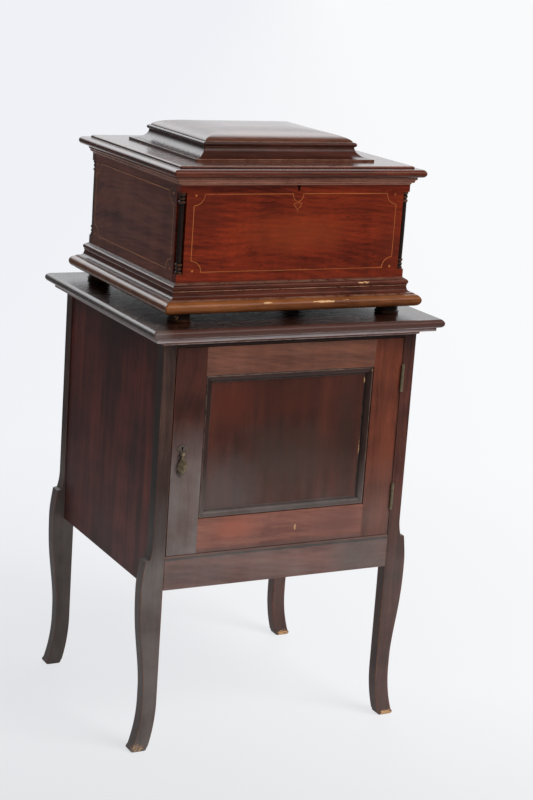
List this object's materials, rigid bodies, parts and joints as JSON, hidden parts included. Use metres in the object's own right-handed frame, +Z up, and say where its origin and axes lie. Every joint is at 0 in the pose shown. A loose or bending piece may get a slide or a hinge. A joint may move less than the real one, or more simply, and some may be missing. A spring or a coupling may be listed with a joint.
{
  "type": "music box on stand",
  "caption": "Disc music box in an inlaid case with a hinged moulded lid, standing on a cabinet with shaped legs and a panelled door that holds its discs.",
  "frame": {"origin": "on the floor under the middle of the cabinet's top board", "axes": "+X to the object's right seen from the front, +Y to its back, +Z up; the door faces -Y"},
  "size_m": [0.651, 0.582, 1.2419],
  "materials": {
    "mahogany_top": "worn satin varnish",
    "mahogany_cabinet": "dull worn varnish",
    "mahogany_box": "glossy varnish with string inlay",
    "mahogany_moulding": "glossy worn varnish",
    "inside_wood": "plain oiled wood",
    "aged_brass": "dull aged brass",
    "clean_brass": "lacquered brass",
    "bright_steel": "polished steel",
    "disc_steel": "darkened sheet steel",
    "painted_iron": "bronze-painted casting"
  },
  "bodies": {
    "cabinet": {"cabinet_top": "mahogany_top", "top_moulding": "mahogany_moulding", "leg_front_left": "mahogany_cabinet", "leg_front_right": "mahogany_cabinet", "leg_back_left": "mahogany_cabinet", "leg_back_right": "mahogany_cabinet", "cabinet_sides": "mahogany_cabinet", "back_board": "inside_wood", "cabinet_floor": "inside_wood", "apron": "mahogany_cabinet", "back_rail": "inside_wood", "top_rail": "mahogany_cabinet", "disc_racks": "inside_wood", "door_hinge_frame_leaves": "aged_brass", "box_feet": "mahogany_moulding", "base_board": "mahogany_top", "base_moulding": "mahogany_moulding", "case_front": "mahogany_box", "case_back": "mahogany_box", "case_sides": "mahogany_box", "corner_columns": "mahogany_moulding", "case_moulding": "mahogany_moulding", "lid_lock": "clean_brass", "lid_hinge_case_leaves": "aged_brass", "winding_bush": "aged_brass", "bedplate": "painted_iron", "comb_bases": "painted_iron", "combs": "bright_steel", "star_bridge": "painted_iron", "centre_spindle": "bright_steel", "arm_bracket": "painted_iron", "motor_frame": "clean_brass"},
    "lid": {"lid_board": "mahogany_top", "lid_cove": "mahogany_moulding", "lid_dome": "mahogany_top", "lid_hinge_leaves": "aged_brass", "lid_strike": "clean_brass"},
    "door": {"door_lock_stile": "mahogany_cabinet", "door_hinge_stile": "mahogany_cabinet", "door_top_rail": "mahogany_cabinet", "door_bottom_rail": "mahogany_cabinet", "door_panel": "mahogany_cabinet", "door_moulding": "mahogany_moulding", "door_hinge_leaves": "aged_brass", "door_lock": "bright_steel", "door_escutcheon": "aged_brass"},
    "drop_pull": {"door_pull": "aged_brass"},
    "door_bolt": {"door_bolt": "clean_brass"},
    "lid_bolt": {"lid_bolt": "clean_brass"},
    "disc": {"tune_disc": "disc_steel"},
    "hold_down_arm": {"hold_down_arm": "bright_steel"},
    "drive_wheel": {"drive_wheel": "clean_brass"},
    "barrel": {"spring_barrel": "clean_brass", "mainspring": "bright_steel"},
    "winding_arbor": {"winding_arbor": "bright_steel"},
    "click": {"click": "bright_steel"},
    "second_arbor": {"governor_wheel": "clean_brass"},
    "governor": {"governor_fan": "clean_brass"},
    "start_lever": {"start_lever": "clean_brass"},
    "star_wheels": {"star_wheels": "clean_brass"}
  },
  "joints": [
    {"name": "lid_hinge", "type": "hinge", "parent": "cabinet", "child": "lid", "pos_m": [0, 0.225, 1.1667], "axis": [-1, 0, 0], "range_deg": [0, 95]},
    {"name": "door_hinge", "type": "hinge", "parent": "cabinet", "child": "door", "pos_m": [0.25625, -0.2529, 0.628], "axis": [0, 0, 1], "range_deg": [0, 165]},
    {"name": "pull_pivot", "type": "hinge", "parent": "door", "child": "drop_pull", "pos_m": [-0.2335, -0.255, 0.627], "axis": [-1, 0, 0], "range_deg": [0, 80]},
    {"name": "door_bolt_slide", "type": "slide", "parent": "door", "child": "door_bolt", "axis": [-1, 0, 0], "range_m": [0, 0.008]},
    {"name": "lid_bolt_slide", "type": "slide", "parent": "cabinet", "child": "lid_bolt", "axis": [1, 0, 0], "range_m": [0, 0.005]},
    {"name": "disc_turn", "type": "hinge", "parent": "cabinet", "child": "disc", "pos_m": [0, 0, 1.092], "axis": [0, 0, 1], "continuous": true},
    {"name": "arm_hinge", "type": "hinge", "parent": "cabinet", "child": "hold_down_arm", "pos_m": [-0.215, 0, 1.1025], "axis": [0, -1, 0], "range_deg": [0, 25]},
    {"name": "drive_turn", "type": "hinge", "parent": "cabinet", "child": "drive_wheel", "pos_m": [0.15, 0, 1.06825], "axis": [1, 0, 0], "continuous": true},
    {"name": "barrel_turn", "type": "hinge", "parent": "cabinet", "child": "barrel", "pos_m": [0.14, 0, 0.994], "axis": [1, 0, 0], "continuous": true},
    {"name": "winding_turn", "type": "hinge", "parent": "cabinet", "child": "winding_arbor", "pos_m": [0.2, 0, 0.994], "axis": [1, 0, 0], "continuous": true},
    {"name": "click_pivot", "type": "hinge", "parent": "cabinet", "child": "click", "pos_m": [0.179, 0.024, 1.014], "axis": [-1, 0, 0], "range_deg": [-5.5, 6.5], "stiffness_Nm_per_rad": 0.02, "springref_deg": -11.46},
    {"name": "second_turn", "type": "hinge", "parent": "cabinet", "child": "second_arbor", "pos_m": [0.131, -0.06, 1.02325], "axis": [1, 0, 0], "continuous": true},
    {"name": "governor_turn", "type": "hinge", "parent": "cabinet", "child": "governor", "pos_m": [0.1312, -0.088, 1.02325], "axis": [0, 0, 1], "continuous": true},
    {"name": "lever_pivot", "type": "hinge", "parent": "cabinet", "child": "start_lever", "pos_m": [0.1542, -0.16, 1.05525], "axis": [0, 0, 1], "range_deg": [0, 14]},
    {"name": "star_turn", "type": "hinge", "parent": "cabinet", "child": "star_wheels", "pos_m": [-0.12, 0, 1.083], "axis": [1, 0, 0], "continuous": true}
  ],
  "couplings": [
    {"joint": "drive_turn", "follows": "disc_turn", "ratio": -8},
    {"joint": "barrel_turn", "follows": "disc_turn", "ratio": 2.56},
    {"joint": "second_turn", "follows": "disc_turn", "ratio": -13.714},
    {"joint": "governor_turn", "follows": "disc_turn", "ratio": -329.14}
  ]
}
